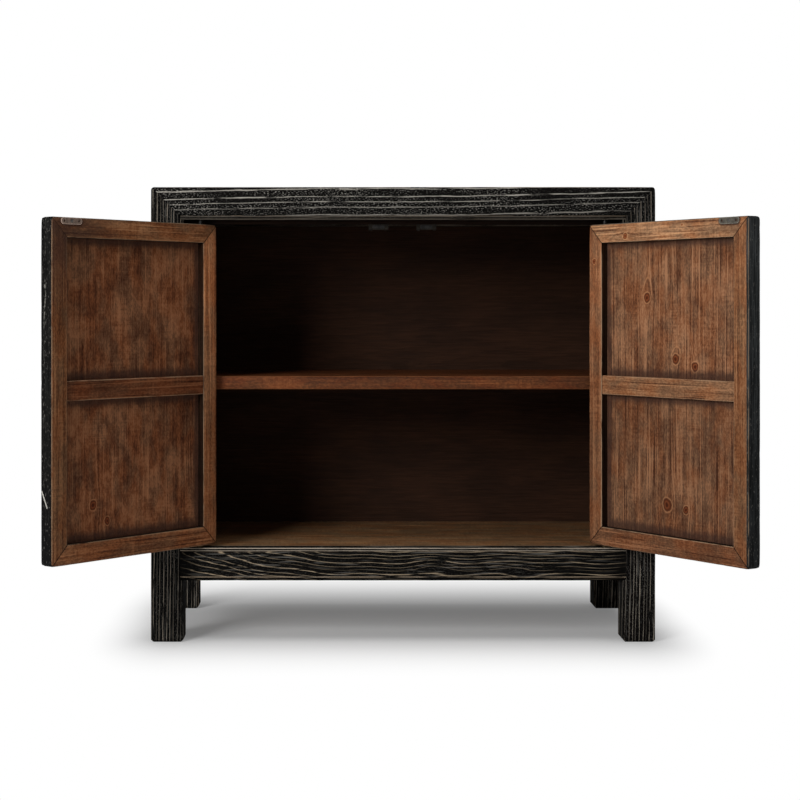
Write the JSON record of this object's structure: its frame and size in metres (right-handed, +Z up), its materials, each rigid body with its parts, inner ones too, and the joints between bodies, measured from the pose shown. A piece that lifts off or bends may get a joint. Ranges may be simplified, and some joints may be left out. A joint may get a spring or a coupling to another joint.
{
  "type": "two-door cabinet",
  "caption": "Low black cabinet on square legs, with a mitred post-and-rail frame, pivot-hung framed doors that swing open, and a shelf inside.",
  "frame": {"origin": "front left foot's sole, under the middle of its post, on the floor", "axes": "+X to the right along the front, +Y to the back, +Z up"},
  "size_m": [1.2511, 0.7561, 0.866],
  "materials": {
    "black_wood": "black paint brushed back so that pale grain and arrises show",
    "brown_wood": "brown stain on softwood, satin",
    "door_wood": "black paint outside and on the edges, brown stain inside",
    "steel": "plain steel",
    "plate_metal": "dulled plated steel",
    "bush_metal": "turned brass",
    "catch_metal": "dull aluminium",
    "magnet": "dark ferrite between steel pole plates",
    "black_iron": "blackened iron, worn at the rim"
  },
  "bodies": {
    "carcass": {"back_panel": "black_wood", "back_shelf_cleat": "brown_wood", "bottom_front_rail": "black_wood", "bottom_left_rail": "black_wood", "bottom_rear_rail": "black_wood", "bottom_right_rail": "black_wood", "catch_rail": "brown_wood", "catch_screws": "steel", "floor_bearer": "brown_wood", "floor_board": "brown_wood", "front_left_post": "black_wood", "front_right_post": "black_wood", "head_lining": "black_wood", "left_catch_housing": "catch_metal", "left_catch_magnet": "magnet", "left_jamb_lining": "black_wood", "left_shelf_cleat": "brown_wood", "left_side_panel": "black_wood", "left_top_batten": "brown_wood", "pivot_bushes": "bush_metal", "pivot_collars": "bush_metal", "rear_left_post": "black_wood", "rear_right_post": "black_wood", "right_catch_housing": "catch_metal", "right_catch_magnet": "magnet", "right_jamb_lining": "black_wood", "right_shelf_cleat": "brown_wood", "right_side_panel": "black_wood", "right_top_batten": "brown_wood", "shelf": "brown_wood", "sill_lining": "black_wood", "top_front_rail": "black_wood", "top_left_rail": "black_wood", "top_panel": "black_wood", "top_rear_rail": "black_wood", "top_right_rail": "black_wood"},
    "left_door": {"left_door_bottom_rail": "door_wood", "left_door_hinge_stile": "door_wood", "left_door_knob": "black_iron", "left_door_lower_pin": "steel", "left_door_meeting_stile": "door_wood", "left_door_middle_rail": "door_wood", "left_door_panel": "door_wood", "left_door_strike_plate": "plate_metal", "left_door_strike_screw": "steel", "left_door_top_rail": "door_wood", "left_door_upper_pin": "steel"},
    "right_door": {"right_door_bottom_rail": "door_wood", "right_door_hinge_stile": "door_wood", "right_door_knob": "black_iron", "right_door_lower_pin": "steel", "right_door_meeting_stile": "door_wood", "right_door_middle_rail": "door_wood", "right_door_panel": "door_wood", "right_door_strike_plate": "plate_metal", "right_door_strike_screw": "steel", "right_door_top_rail": "door_wood", "right_door_upper_pin": "steel"}
  },
  "joints": [
    {"name": "left_door_hinge", "type": "hinge", "parent": "carcass", "child": "left_door", "pos_m": [0.066, -0.014, 0.184], "axis": [0, 0, -1], "range_deg": [-130, 3]},
    {"name": "right_door_hinge", "type": "hinge", "parent": "carcass", "child": "right_door", "pos_m": [0.838, -0.014, 0.184], "axis": [0, 0, 1], "range_deg": [-123.1, 9.9]}
  ]
}
